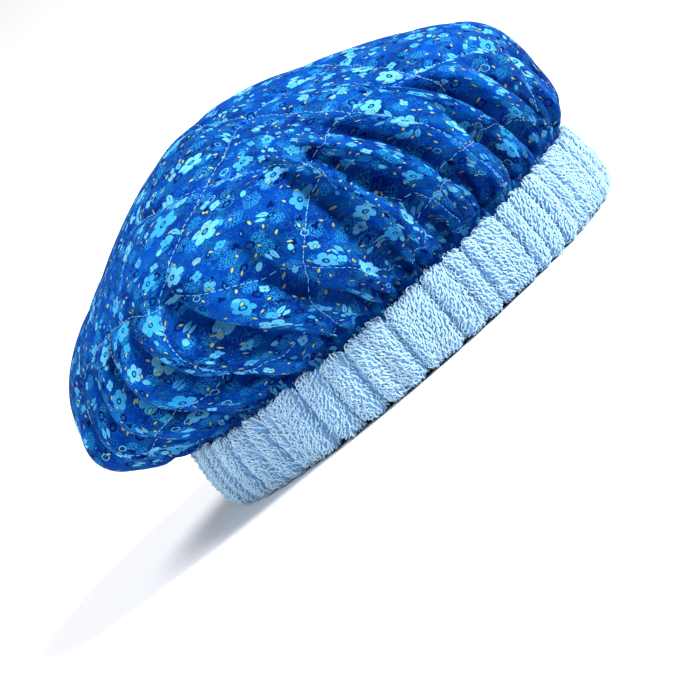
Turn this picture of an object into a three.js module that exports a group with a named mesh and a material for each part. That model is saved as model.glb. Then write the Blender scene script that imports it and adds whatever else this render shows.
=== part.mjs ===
// Deep conditioning heat cap: a quilted cotton bonnet whose square pockets hold flax seed,
// gathered onto an elasticated terry band.
// Millimetres. The origin is the centre of the head opening, in the plane of the band's lower rim.
// +X points to the forehead, +Y to the wearer's left and +Z up to the crown.

import * as THREE from 'three';

// Gap between pieces that touch
const seat_gap = 0.3;

// Head opening, inside the relaxed band
const opening_length = 190;
const opening_breadth = 154;

// Terry band: one strip folded up at the lower rim, with an inner and an outer leg
const band_height = 32;
const terry_thickness = 3;
const terry_swell = 1.2;
const gather_depth = 1.8;
const rim_rounding = 1.6;

// Elastic inside the fold of the terry
const elastic_slack = 1.4;
const elastic_thickness = 1.2;

// Cotton layers, and the edge that is sewn in between the legs of the terry
const cover_thickness = 1.2;
const lining_thickness = 1;
const seam_tuck = 3.6;
const seam_stand = 1;

// Dome of the worn cap over the crests of its puffs, and how far they overhang the band
const crown_height = 134.8;
const crown_setback = 22;
const front_overhang = 7.6;
const back_overhang = 34.9;
const side_overhang = 21.9;

// How far the crests stand off the filled pockets
const crown_ease = 1.8;
const front_puff = 2.2;
const back_puff = 14.5;
const side_puff = 13;

// Quilted cloth, cut as a flat disc, with its grid turned from the front-to-back line
const cloth_radius = 200;
const quilt_border = 38;
const quilt_angle_degrees = 27;
const pocket_count = 6;
const pocket_margin = 3;
const pocket_hem = 26;
const pocket_squeeze = 24;

// Quilting of the outer cover: how far a sewn line draws the cloth in, over what distance the cloth
// swells out again beside it, and how far from the line the shoulder of a pocket is drawn
const quilt_sink = 2.7;
const quilt_swell = 8;
const quilt_shoulder = 13;

// Flax seed in each pocket
const seed_depth = 6;
const seed_edge_depth = 1.6;
const seed_gap = 0.95;
const pocket_slack = 2.35;

// Meridians from the band to the crown: shares of the reach from the crown's axis, and of the rise
// above the seam
const front_shares = [
  [0.938, 0.03], [0.988, 0.117], [1, 0.235], [0.994, 0.36], [0.967, 0.497],
  [0.893, 0.61], [0.728, 0.73], [0.53, 0.835], [0.33, 0.937], [0.15, 0.994],
];
const back_shares = [
  [0.69, 0.023], [0.821, 0.048], [0.944, 0.117], [0.99, 0.225], [0.958, 0.365],
  [0.872, 0.52], [0.745, 0.643], [0.558, 0.758], [0.35, 0.874], [0.168, 0.952],
];
const side_shares = [
  [0.77, 0.027], [0.866, 0.093], [0.954, 0.177], [1, 0.294], [1, 0.431],
  [0.944, 0.569], [0.824, 0.696], [0.648, 0.809], [0.435, 0.91], [0.222, 0.985],
];
const lining_front_shares = [
  [0.996, 0.122], [0.992, 0.253], [0.967, 0.384], [0.922, 0.503], [0.849, 0.612],
  [0.743, 0.712], [0.604, 0.81], [0.424, 0.907], [0.22, 0.978],
];
const lining_back_shares = [
  [0.82, 0.068], [0.918, 0.144], [0.99, 0.253], [1, 0.384], [0.949, 0.503],
  [0.827, 0.612], [0.653, 0.727], [0.439, 0.842], [0.214, 0.945],
];
const lining_side_shares = [
  [0.938, 0.112], [0.972, 0.231], [1, 0.362], [0.983, 0.503], [0.904, 0.623],
  [0.763, 0.744], [0.565, 0.853], [0.384, 0.928], [0.192, 0.983],
];

// Gathers of the cover. Each valley starts at a share of the full turn round the band, leans by a
// share of the turn, climbs a share of the way to the crown and has a share of the full depth.
const gather_shares = [
  { at_share: 0.008, lean_share: 0, climb_share: 0.24, depth_share: 0.8 },
  { at_share: 0.047, lean_share: 0.011, climb_share: 0.28, depth_share: 0.9 },
  { at_share: 0.089, lean_share: 0.025, climb_share: 0.36, depth_share: 1 },
  { at_share: 0.133, lean_share: 0.019, climb_share: 0.3, depth_share: 0.9 },
  { at_share: 0.172, lean_share: 0.025, climb_share: 0.46, depth_share: 1 },
  { at_share: 0.214, lean_share: 0.014, climb_share: 0.44, depth_share: 1 },
  { at_share: 0.258, lean_share: 0.011, climb_share: 0.42, depth_share: 0.95 },
  { at_share: 0.297, lean_share: 0.025, climb_share: 0.46, depth_share: 1 },
  { at_share: 0.339, lean_share: 0.033, climb_share: 0.4, depth_share: 1 },
  { at_share: 0.383, lean_share: 0.011, climb_share: 0.28, depth_share: 0.85 },
  { at_share: 0.425, lean_share: 0.006, climb_share: 0.26, depth_share: 0.9 },
  { at_share: 0.467, lean_share: 0, climb_share: 0.24, depth_share: 0.85 },
  { at_share: 0.508, lean_share: 0, climb_share: 0.26, depth_share: 0.9 },
  { at_share: 0.55, lean_share: -0.003, climb_share: 0.24, depth_share: 0.85 },
  { at_share: 0.589, lean_share: -0.006, climb_share: 0.26, depth_share: 0.9 },
  { at_share: 0.628, lean_share: -0.011, climb_share: 0.24, depth_share: 0.9 },
  { at_share: 0.664, lean_share: -0.025, climb_share: 0.24, depth_share: 0.9 },
  { at_share: 0.706, lean_share: -0.05, climb_share: 0.42, depth_share: 1 },
  { at_share: 0.739, lean_share: -0.025, climb_share: 0.32, depth_share: 0.9 },
  { at_share: 0.769, lean_share: -0.006, climb_share: 0.46, depth_share: 1 },
  { at_share: 0.803, lean_share: -0.017, climb_share: 0.46, depth_share: 1 },
  { at_share: 0.836, lean_share: -0.025, climb_share: 0.48, depth_share: 1 },
  { at_share: 0.867, lean_share: -0.014, climb_share: 0.28, depth_share: 0.8 },
  { at_share: 0.897, lean_share: -0.033, climb_share: 0.38, depth_share: 1 },
  { at_share: 0.931, lean_share: -0.028, climb_share: 0.28, depth_share: 0.9 },
  { at_share: 0.969, lean_share: -0.008, climb_share: 0.24, depth_share: 0.8 },
];
const columns_per_gather = 4;
const gather_count = gather_shares.length;
const column_count = gather_count * columns_per_gather;

// Rings of the domes: the share of the way from the band to the crown, and how many columns
// share one point. Inside the cover's last ring, its quilted crown is a square lattice out to a
// share of the flat radius. The quilting starts among the gathers and is full at the last ring.
const cover_ring_shares = [0, 0.085, 0.19, 0.3];
const cover_ring_steps = [1, 1, 1, 2];
const quilt_lattice_share = 0.625;
const quilt_start_share = 0.19;
const quilt_full_share = 0.3;
const lining_ring_shares = [0, 0.07, 0.14, 0.24, 0.35, 0.47, 0.59, 0.72, 0.86];
const lining_ring_steps = [1, 2, 2, 2, 2, 4, 4, 4, 8];

// Radial build-up of the band, from the inner face of the terry outwards
const casing_gap = lining_thickness + cover_thickness + 3 * seat_gap;
const casing_inner = terry_thickness;
const casing_outer = casing_inner + casing_gap;
const band_depth = casing_outer + terry_thickness;
const lining_seam_out = casing_inner + seat_gap + lining_thickness;
const cover_seam_out = lining_seam_out + seat_gap + cover_thickness;
const seam_foot = band_height - seam_tuck;
const seam_top = band_height + seam_stand;
const elastic_top = seam_foot - seat_gap;
const elastic_foot = terry_thickness + elastic_slack - seat_gap;
const front_reach = opening_length / 2 + band_depth + front_overhang;
const back_reach = opening_length / 2 + band_depth + back_overhang;
const side_reach = opening_breadth / 2 + band_depth + side_overhang;

// Height of the cover over the lining where a valley rests on a filled pocket
const pocket_lift = seed_gap + seed_depth + pocket_slack + cover_thickness;
const lining_crown_height = crown_height - pocket_lift - crown_ease;
const lining_front_reach = front_reach - pocket_lift - front_puff;
const lining_back_reach = back_reach - pocket_lift - back_puff;
const lining_side_reach = side_reach - pocket_lift - side_puff;

// Side of a square of the quilting, and the widest reach of a filled pocket on the flat cloth
const quilt_pitch = (2 * (cloth_radius - quilt_border)) / pocket_count;
const pocket_limit = cloth_radius - pocket_hem;

const degree = Math.PI / 180;
const full_turn = 2 * Math.PI;

// Point on the oval of the band, a distance out from the inner face of the terry
function ovalPoint(angle, out, up) {
  const x = (opening_length / 2 + out) * Math.cos(angle);
  const y = (opening_breadth / 2 + out) * Math.sin(angle);
  return new THREE.Vector3(x, y, up);
}

function ease(share) {
  const held = Math.min(Math.max(share, 0), 1);
  return held * held * (3 - 2 * held);
}

// Curve of one meridian in its own plane, from the seam to the crown's axis
function meridian(seam_from_axis, reach_from_axis, height, shares) {
  const points = [new THREE.Vector2(seam_from_axis, seam_top)];
  for (const [out_share, up_share] of shares) {
    const up = seam_top + up_share * (height - seam_top);
    points.push(new THREE.Vector2(out_share * reach_from_axis, up));
  }
  points.push(new THREE.Vector2(0, height));
  return new THREE.SplineCurve(points);
}

// Dome blended from its front, back and side meridians
function makeDome(seam_out, height, front, back, side, shares) {
  const seam_x = opening_length / 2 + seam_out;
  const seam_y = opening_breadth / 2 + seam_out;
  const front_curve = meridian(seam_x + crown_setback, front + crown_setback, height, shares.front);
  const back_curve = meridian(seam_x - crown_setback, back - crown_setback, height, shares.back);
  const side_curve = meridian(seam_y, side, height, shares.side);
  const cache = new Map();
  return function domePoint(angle, share) {
    if (!cache.has(share)) {
      const samples = [front_curve, back_curve, side_curve].map((curve) => curve.getPointAt(share));
      cache.set(share, samples);
    }
    const [fore, aft, beam] = cache.get(share);
    const along = Math.cos(angle);
    const across = Math.sin(angle);
    const axis_x = -crown_setback * ease(share);
    const fore_x = fore.x - crown_setback - axis_x;
    const aft_x = aft.x + crown_setback + axis_x;
    const x = axis_x + (along * (fore_x + aft_x + (fore_x - aft_x) * along)) / 2;
    const length_z = (fore.y + aft.y + (fore.y - aft.y) * along) / 2;
    const z = length_z * along * along + beam.y * across * across;
    return new THREE.Vector3(x, beam.x * across, z);
  };
}

const crestPoint = makeDome(cover_seam_out, crown_height, front_reach, back_reach, side_reach, {
  front: front_shares,
  back: back_shares,
  side: side_shares,
});
const liningPoint = makeDome(
  lining_seam_out,
  lining_crown_height,
  lining_front_reach,
  lining_back_reach,
  lining_side_reach,
  { front: lining_front_shares, back: lining_back_shares, side: lining_side_shares },
);

// Direction square to the lining's outer face
function liningNormal(angle, share) {
  const angle_step = degree;
  const share_step = 0.01;
  const beside_share = Math.min(share, 1 - share_step);
  const right = liningPoint(angle - angle_step, beside_share);
  const left = liningPoint(angle + angle_step, beside_share);
  const below = liningPoint(angle, Math.max(share - share_step, 0));
  const above = liningPoint(angle, Math.min(share + share_step, 1));
  return left.sub(right).cross(above.sub(below)).normalize();
}

// Point at a height above the lining
function aboveLining(angle, share, lift) {
  return liningPoint(angle, share).addScaledVector(liningNormal(angle, share), lift);
}

// Angle of a gather's valley at a height
function valleyAngle(index, share) {
  const whole_turns = Math.floor(index / gather_count);
  const gather = gather_shares[index % gather_count];
  const lean = gather.lean_share * ease(share / gather.climb_share);
  return (gather.at_share + lean + whole_turns) * full_turn;
}

function valleyDepthShare(index, share) {
  const gather = gather_shares[index % gather_count];
  const fade_start_share = 0.45;
  const climbed_share = share / gather.climb_share;
  const faded_share = (climbed_share - fade_start_share) / (1 - fade_start_share);
  return gather.depth_share * (1 - ease(faded_share));
}

// Where a column of the cloth stands between two valleys, with round puffs and sharp valleys
function gatherAt(column, share) {
  const index = Math.floor(column / columns_per_gather);
  const along_share = (column % columns_per_gather) / columns_per_gather;
  const start = valleyAngle(index, share);
  const end = valleyAngle(index + 1, share);
  const start_depth_share = valleyDepthShare(index, share);
  const end_depth_share = valleyDepthShare(index + 1, share);
  const mixed_share = start_depth_share + (end_depth_share - start_depth_share) * ease(along_share);
  return {
    angle: start + (end - start) * along_share,
    sink_share: mixed_share * (1 - Math.sin(Math.PI * along_share)),
  };
}

// How far the sewn lines draw the cover in, at a column and height of the flat cloth
function quiltSink(column, share) {
  const radius = (1 - share) * cloth_radius;
  const grid_angle = (column / column_count) * full_turn - quilt_angle_degrees * degree;
  const sinks = [radius * Math.cos(grid_angle), radius * Math.sin(grid_angle)].map((place) => {
    const off_line = Math.abs(place - Math.round(place / quilt_pitch) * quilt_pitch);
    return quilt_sink * Math.exp(-off_line / quilt_swell);
  });
  return Math.hypot(...sinks) * ease((share - quilt_start_share) / (quilt_full_share - quilt_start_share));
}

// The cover lies over the crests and sinks in the valleys as far as the seed pockets let it
function coverPoint(column, share) {
  const { angle, sink_share } = gatherAt(column, share);
  const pocket_start_share = 0.2;
  const floor_lift = (cover_seam_out - lining_seam_out)
    + (pocket_lift - (cover_seam_out - lining_seam_out)) * ease(share / pocket_start_share);
  const crest = crestPoint(angle, share);
  const folded = crest.lerp(aboveLining(angle, share, floor_lift), sink_share);
  return folded.addScaledVector(liningNormal(angle, share), -quiltSink(column, share));
}

function makeMesh(name, points, faces, material) {
  const geometry = new THREE.BufferGeometry();
  geometry.setAttribute('position', new THREE.Float32BufferAttribute(points.flatMap((p) => p.toArray()), 3));
  geometry.setIndex(faces.flat());
  geometry.computeVertexNormals();
  const mesh = new THREE.Mesh(geometry, material);
  mesh.name = name;
  return mesh;
}

// Faces between two closed rings, the first one outside and below. Each point of a ring has its
// number and its share of the full turn, which rises along the ring.
function joinRings(lower, upper, faces) {
  const turnAfter = (ring, i) => (i + 1 < ring.length ? ring[i + 1].turn_share : 1 + ring[0].turn_share);
  let i = 0;
  let j = 0;
  while (i < lower.length || j < upper.length) {
    const lower_now = lower[i % lower.length].number;
    const upper_now = upper[j % upper.length].number;
    const lower_first = i < lower.length && turnAfter(lower, i) <= turnAfter(upper, j);
    if (lower_first || j === upper.length) {
      faces.push([lower_now, lower[(i + 1) % lower.length].number, upper_now]);
      i += 1;
    } else {
      faces.push([lower_now, upper[(j + 1) % upper.length].number, upper_now]);
      j += 1;
    }
  }
}

// Crown that closes in one point
function closeAtPoint(points, faces, ring, pointAt) {
  const crown = points.length;
  points.push(pointAt(0, 1));
  ring.forEach(({ number }, i) => faces.push([number, ring[(i + 1) % ring.length].number, crown]));
}

// Crown of square pockets, on a lattice with points on each sewn line and on the shoulders beside it
function closeWithPockets(points, faces, ring, pointAt) {
  const limit = quilt_lattice_share * cloth_radius;
  const last_line = Math.ceil(limit / quilt_pitch);
  const stations = [];
  for (let line = -last_line; line <= last_line; line += 1) {
    const on_line = line * quilt_pitch;
    stations.push(on_line - quilt_shoulder, on_line, on_line + quilt_shoulder);
  }
  const corners = new Map();
  const cornerAt = (i, j) => {
    const key = `${i} ${j}`;
    if (!corners.has(key)) {
      const grid_turn = Math.atan2(stations[j], stations[i]) / full_turn;
      const turn_share = (grid_turn + (quilt_angle_degrees * degree) / full_turn + 1) % 1;
      const radius = Math.hypot(stations[i], stations[j]);
      corners.set(key, { number: points.length, turn_share });
      points.push(pointAt(turn_share * column_count, 1 - radius / cloth_radius));
    }
    return corners.get(key);
  };
  const border = new Map();
  const stations_per_line = 3;
  for (let i = 0; i + 1 < stations.length; i += 1) {
    for (let j = 0; j + 1 < stations.length; j += 1) {
      const far_along = Math.max(Math.abs(stations[i]), Math.abs(stations[i + 1]));
      const far_across = Math.max(Math.abs(stations[j]), Math.abs(stations[j + 1]));
      if (Math.hypot(far_along, far_across) > limit) continue;
      const cell = [cornerAt(i, j), cornerAt(i + 1, j), cornerAt(i + 1, j + 1), cornerAt(i, j + 1)];
      const [a, b, c, d] = cell.map(({ number }) => number);
      const ridge_rises = i % stations_per_line === j % stations_per_line;
      faces.push(...(ridge_rises ? [[a, b, c], [a, c, d]] : [[a, b, d], [b, c, d]]));
      cell.forEach((corner, side) => {
        const next = cell[(side + 1) % cell.length];
        const shared = border.delete(`${next.number} ${corner.number}`);
        if (!shared) border.set(`${corner.number} ${next.number}`, corner);
      });
    }
  }
  const edge = [...border.values()].sort((one, other) => one.turn_share - other.turn_share);
  joinRings(ring, edge, faces);
}

// Cloth dome: its outer face, an inner face a thickness below it, and the edge between them.
// The cloth stands upright in the seam, from the tucked edge to the top of the seam.
function makeClothDome(cloth) {
  const { name, thickness, seam_out, ring_shares, ring_steps, pointAt, closeCrown, material } = cloth;
  const points = [];
  const faces = [];
  const seamRing = (up) => {
    const ring = [];
    for (let column = 0; column < column_count; column += 1) {
      ring.push({ number: points.length, turn_share: column / column_count });
      points.push(ovalPoint(gatherAt(column, 0).angle, seam_out, up));
    }
    return ring;
  };
  const edge_ring = seamRing(seam_foot);
  const top_ring = seamRing(seam_top);
  const seam_points = points.length;
  joinRings(edge_ring, top_ring, faces);
  let last_ring = top_ring;
  for (let level = 1; level < ring_shares.length; level += 1) {
    const ring = [];
    for (let column = 0; column < column_count; column += ring_steps[level]) {
      ring.push({ number: points.length, turn_share: column / column_count });
      points.push(pointAt(column, ring_shares[level]));
    }
    joinRings(last_ring, ring, faces);
    last_ring = ring;
  }
  closeCrown(points, faces, last_ring, pointAt);

  const outer = makeMesh(name, points, faces, material);
  const normals = outer.geometry.getAttribute('normal');
  const inner_points = points.map((point, i) => {
    if (i < seam_points) {
      return ovalPoint(gatherAt(i % column_count, 0).angle, seam_out - thickness, point.z);
    }
    const normal = new THREE.Vector3().fromBufferAttribute(normals, i);
    return point.clone().addScaledVector(normal, -thickness);
  });
  const shift = points.length;
  const inner_faces = faces.map(([a, b, c]) => [a + shift, c + shift, b + shift]);
  const edge_faces = edge_ring.flatMap(({ number }, i) => {
    const next = edge_ring[(i + 1) % edge_ring.length].number;
    return [[number, number + shift, next], [next, number + shift, next + shift]];
  });
  return makeMesh(name, points.concat(inner_points), [...faces, ...inner_faces, ...edge_faces], material);
}

// Closed band round the head from a section for each column, its points running anticlockwise
function makeBand(name, sectionAt, material) {
  const points = [];
  const faces = [];
  const side_count = sectionAt(0).length;
  for (let column = 0; column < column_count; column += 1) {
    const { angle } = gatherAt(column, 0);
    for (const [out, up] of sectionAt(column)) points.push(ovalPoint(angle, out, up));
  }
  for (let column = 0; column < column_count; column += 1) {
    const here = column * side_count;
    const ahead = ((column + 1) % column_count) * side_count;
    for (let side = 0; side < side_count; side += 1) {
      const next = (side + 1) % side_count;
      faces.push([here + side, ahead + side, here + next]);
      faces.push([ahead + side, ahead + next, here + next]);
    }
  }
  return makeMesh(name, points, faces, material);
}

// Section of the folded terry: a deep groove under each valley and a shallow one under each puff
function terrySection(column) {
  const groove_shares = [1, 0, 0.5, 0];
  const groove_share = groove_shares[column % columns_per_gather];
  const face = band_depth - gather_depth * groove_share;
  const belly = face + terry_swell * (1 - groove_share);
  return [
    [rim_rounding, 0],
    [band_depth - gather_depth - rim_rounding, 0],
    [face, 2 * rim_rounding],
    [belly, band_height / 2],
    [face, band_height - 2 * rim_rounding],
    [casing_outer, band_height],
    [casing_outer, terry_thickness],
    [casing_inner, terry_thickness],
    [casing_inner, band_height],
    [rim_rounding, band_height],
    [0, band_height - rim_rounding],
    [0, rim_rounding],
  ];
}

function elasticSection() {
  const inner_face = casing_inner + seat_gap;
  const outer_face = inner_face + elastic_thickness;
  return [
    [inner_face, elastic_foot],
    [outer_face, elastic_foot],
    [outer_face, elastic_top],
    [inner_face, elastic_top],
  ];
}

// Place on the lifted lining of a point of the flat cloth, given along and across the quilting.
// The outermost corners are squeezed in, short of the gathered edge.
function quiltPoint(along, across, lift) {
  const angle = Math.atan2(across, along) + quilt_angle_degrees * degree;
  const flat_radius = Math.hypot(along, across);
  const overrun = flat_radius - (pocket_limit - pocket_squeeze);
  const squeezed = pocket_limit - pocket_squeeze + pocket_squeeze * Math.tanh(overrun / pocket_squeeze);
  const radius = overrun > 0 ? squeezed : flat_radius;
  return aboveLining(angle, 1 - radius / cloth_radius, lift);
}

// Seed in one pocket: a square cushion that thins out towards the quilting seams
function makeSeedFill(name, row, column, material) {
  const cells = 4;
  const points = [];
  const faces = [];
  const side = quilt_pitch - 2 * pocket_margin;
  for (const top of [false, true]) {
    for (let i = 0; i <= cells; i += 1) {
      for (let j = 0; j <= cells; j += 1) {
        const at_edge = i === 0 || j === 0 || i === cells || j === cells;
        const depth = at_edge ? seed_edge_depth : seed_depth;
        const along = row * quilt_pitch + pocket_margin + (side * i) / cells;
        const across = column * quilt_pitch + pocket_margin + (side * j) / cells;
        points.push(quiltPoint(along, across, top ? seed_gap + depth : seed_gap));
      }
    }
  }
  const layer = (cells + 1) * (cells + 1);
  const number = (i, j) => i * (cells + 1) + j;
  for (let i = 0; i < cells; i += 1) {
    for (let j = 0; j < cells; j += 1) {
      const [a, b, c, d] = [number(i, j), number(i + 1, j), number(i + 1, j + 1), number(i, j + 1)];
      faces.push([a + layer, b + layer, c + layer], [a + layer, c + layer, d + layer]);
      faces.push([a, c, b], [a, d, c]);
    }
  }
  const border = [];
  for (let i = 0; i < cells; i += 1) border.push(number(i, 0));
  for (let j = 0; j < cells; j += 1) border.push(number(cells, j));
  for (let i = cells; i > 0; i -= 1) border.push(number(i, cells));
  for (let j = cells; j > 0; j -= 1) border.push(number(0, j));
  border.forEach((point, i) => {
    const next = border[(i + 1) % border.length];
    faces.push([point, next, point + layer], [next, next + layer, point + layer]);
  });
  return makeMesh(name, points, faces, material);
}

// Pockets of the grid that lie well inside the gathered edge
function makeSeedFills(material) {
  const fills = [];
  const half = pocket_count / 2;
  for (let row = -half; row < half; row += 1) {
    for (let column = -half; column < half; column += 1) {
      const far_row = Math.max(Math.abs(row), Math.abs(row + 1));
      const far_column = Math.max(Math.abs(column), Math.abs(column + 1));
      if (Math.hypot(far_row, far_column) * quilt_pitch > cloth_radius) continue;
      const name = `seed_fill_${row + half + 1}_${column + half + 1}`;
      fills.push(makeSeedFill(name, row, column, material));
    }
  }
  return fills;
}

const printed_cotton = new THREE.MeshStandardMaterial({ color: 0x0f4fbf, roughness: 0.8, metalness: 0 });
const plain_cotton = new THREE.MeshStandardMaterial({ color: 0x2a6cc4, roughness: 0.85, metalness: 0 });
const terry = new THREE.MeshStandardMaterial({ color: 0xa9cef2, roughness: 1, metalness: 0 });
const elastic = new THREE.MeshStandardMaterial({ color: 0xf1f0ea, roughness: 0.7, metalness: 0 });
const flax_seed = new THREE.MeshStandardMaterial({ color: 0x7b4d27, roughness: 0.6, metalness: 0 });

const cap = new THREE.Group();
cap.add(makeClothDome({
  name: 'outer_cover',
  thickness: cover_thickness,
  seam_out: cover_seam_out,
  ring_shares: cover_ring_shares,
  ring_steps: cover_ring_steps,
  pointAt: coverPoint,
  closeCrown: closeWithPockets,
  material: printed_cotton,
}));
cap.add(makeClothDome({
  name: 'inner_lining',
  thickness: lining_thickness,
  seam_out: lining_seam_out,
  ring_shares: lining_ring_shares,
  ring_steps: lining_ring_steps,
  pointAt: (column, share) => liningPoint(gatherAt(column, 0).angle, share),
  closeCrown: closeAtPoint,
  material: plain_cotton,
}));
cap.add(makeBand('terry_band', terrySection, terry));
cap.add(makeBand('elastic_loop', elasticSection, elastic));
cap.add(...makeSeedFills(flax_seed));

export default cap;
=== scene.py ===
"""Looks of the deep conditioning heat cap: a quilted, printed cotton cap gathered onto a terry band."""

import math

import bpy
import numpy as np
from mathutils import Matrix, Vector
from mathutils.bvhtree import BVHTree


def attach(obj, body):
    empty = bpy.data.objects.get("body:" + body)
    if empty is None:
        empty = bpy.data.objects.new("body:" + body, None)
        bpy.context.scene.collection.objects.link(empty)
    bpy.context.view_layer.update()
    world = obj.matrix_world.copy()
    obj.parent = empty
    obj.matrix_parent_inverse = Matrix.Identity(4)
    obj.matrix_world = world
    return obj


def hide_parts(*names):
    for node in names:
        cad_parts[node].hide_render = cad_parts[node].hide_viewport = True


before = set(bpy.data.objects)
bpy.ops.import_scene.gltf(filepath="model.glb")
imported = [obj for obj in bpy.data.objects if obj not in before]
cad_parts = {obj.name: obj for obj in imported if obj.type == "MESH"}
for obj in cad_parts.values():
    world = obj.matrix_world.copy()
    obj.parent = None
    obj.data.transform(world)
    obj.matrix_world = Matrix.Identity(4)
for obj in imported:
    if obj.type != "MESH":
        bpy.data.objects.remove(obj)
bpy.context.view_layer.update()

# Sizes of the part's source, in metres
HALF_LENGTH, HALF_BREADTH = 0.095, 0.077
BAND_HEIGHT, TERRY_THICKNESS = 0.032, 0.003
CASING_OUTER, BAND_DEPTH = 0.0061, 0.0091
LINING_SEAM_OUT, COVER_SEAM_OUT = 0.0043, 0.0058
SEAM_FOOT, SEAM_TOP = 0.0284, 0.033
CROWN_SETBACK = 0.022
CLOTH_RADIUS, QUILT_PITCH = 0.2, 0.054
QUILT_ANGLE = math.radians(27)

# Sizes of the cloth's folds, which are nearly the source's
VALLEY_LIFT, PLEAT_DEPTH = 0.0095, 0.0014
FOLD_HOLD, FOLD_FADE, VALLEY_SHAPE = 0.62, 0.73, 0.8
TUCK = SEAM_TOP - SEAM_FOOT
TURN = 2 * math.pi

# Meridians: shares of the reach from the crown's axis, and of the rise above the seam
CREST = {
    "height": 0.1348,
    "reach": (0.1117, 0.139, 0.108),
    "front": [(0.938, 0.03), (0.988, 0.117), (1, 0.235), (0.994, 0.36), (0.967, 0.497),
              (0.893, 0.61), (0.728, 0.73), (0.53, 0.835), (0.33, 0.937), (0.15, 0.994)],
    "back": [(0.69, 0.023), (0.821, 0.048), (0.944, 0.117), (0.99, 0.225), (0.958, 0.365),
             (0.872, 0.52), (0.745, 0.643), (0.558, 0.758), (0.35, 0.874), (0.168, 0.952)],
    "side": [(0.77, 0.027), (0.866, 0.093), (0.954, 0.177), (1, 0.294), (1, 0.431),
             (0.944, 0.569), (0.824, 0.696), (0.648, 0.809), (0.435, 0.91), (0.222, 0.985)],
}
LINING = {
    "height": 0.1225,
    "reach": (0.099, 0.114, 0.0845),
    "front": [(0.996, 0.122), (0.992, 0.253), (0.967, 0.384), (0.922, 0.503), (0.849, 0.612),
              (0.743, 0.712), (0.604, 0.81), (0.424, 0.907), (0.22, 0.978)],
    "back": [(0.82, 0.068), (0.918, 0.144), (0.99, 0.253), (1, 0.384), (0.949, 0.503),
             (0.827, 0.612), (0.653, 0.727), (0.439, 0.842), (0.214, 0.945)],
    "side": [(0.938, 0.112), (0.972, 0.231), (1, 0.362), (0.983, 0.503), (0.904, 0.623),
             (0.763, 0.744), (0.565, 0.853), (0.384, 0.928), (0.192, 0.983)],
}

# Gathers: start, lean, climb and depth, nearly as in the part's source. Lengths are shares of a turn
# or of the way from the seam to the crown.
GATHERS = np.array([
    (0.008, 0, 0.24, 0.8), (0.047, 0.011, 0.28, 0.9), (0.089, 0.025, 0.36, 1),
    (0.133, 0.019, 0.3, 0.9), (0.172, 0.025, 0.46, 1), (0.214, 0.014, 0.44, 1),
    (0.258, 0.011, 0.42, 0.95), (0.297, 0.025, 0.46, 1), (0.339, 0.033, 0.4, 1),
    (0.383, 0.011, 0.28, 0.85), (0.425, 0.006, 0.26, 0.9), (0.467, 0, 0.24, 0.85),
    (0.508, 0, 0.28, 0.9), (0.55, -0.004, 0.32, 0.85), (0.589, -0.012, 0.34, 0.9),
    (0.628, -0.028, 0.38, 0.95), (0.664, -0.04, 0.38, 0.95), (0.706, -0.05, 0.42, 1),
    (0.739, -0.025, 0.32, 0.9), (0.769, -0.006, 0.46, 1), (0.803, -0.017, 0.46, 1),
    (0.836, -0.025, 0.48, 1), (0.867, -0.014, 0.28, 0.8), (0.897, -0.033, 0.38, 1),
    (0.931, -0.028, 0.28, 0.9), (0.969, -0.008, 0.24, 0.8),
])
GATHER_COUNT = len(GATHERS)


# Shapes
def ease(share):
    held = np.clip(share, 0, 1)
    return held * held * (3 - 2 * held)


def meridian(seam, reach, height, shares, count=600):
    """Smooth curve through the shares, resampled at equal steps of its length."""
    rise = height - SEAM_TOP
    between = [(out * reach, SEAM_TOP + up * rise) for out, up in shares]
    points = np.array([(seam, SEAM_TOP), *between, (0, height)], float)
    held = np.vstack([points[:1], points, points[-1:]])
    steps = np.linspace(0, 1, 24, endpoint=False)[:, None]
    dense = []
    for i in range(1, len(points)):
        a, b, c, d = held[i - 1], held[i], held[i + 1], held[i + 2]
        slope_b, slope_c = (c - a) / 2, (d - b) / 2
        dense.append((2 * b - 2 * c + slope_b + slope_c) * steps ** 3
                     + (-3 * b + 3 * c - 2 * slope_b - slope_c) * steps ** 2
                     + slope_b * steps + b)
    dense = np.vstack(dense + [points[-1:]])
    length = np.r_[0, np.cumsum(np.linalg.norm(np.diff(dense, axis=0), axis=1))]
    at = np.linspace(0, length[-1], count)
    return np.c_[np.interp(at, length, dense[:, 0]), np.interp(at, length, dense[:, 1])], length[-1]


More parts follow.
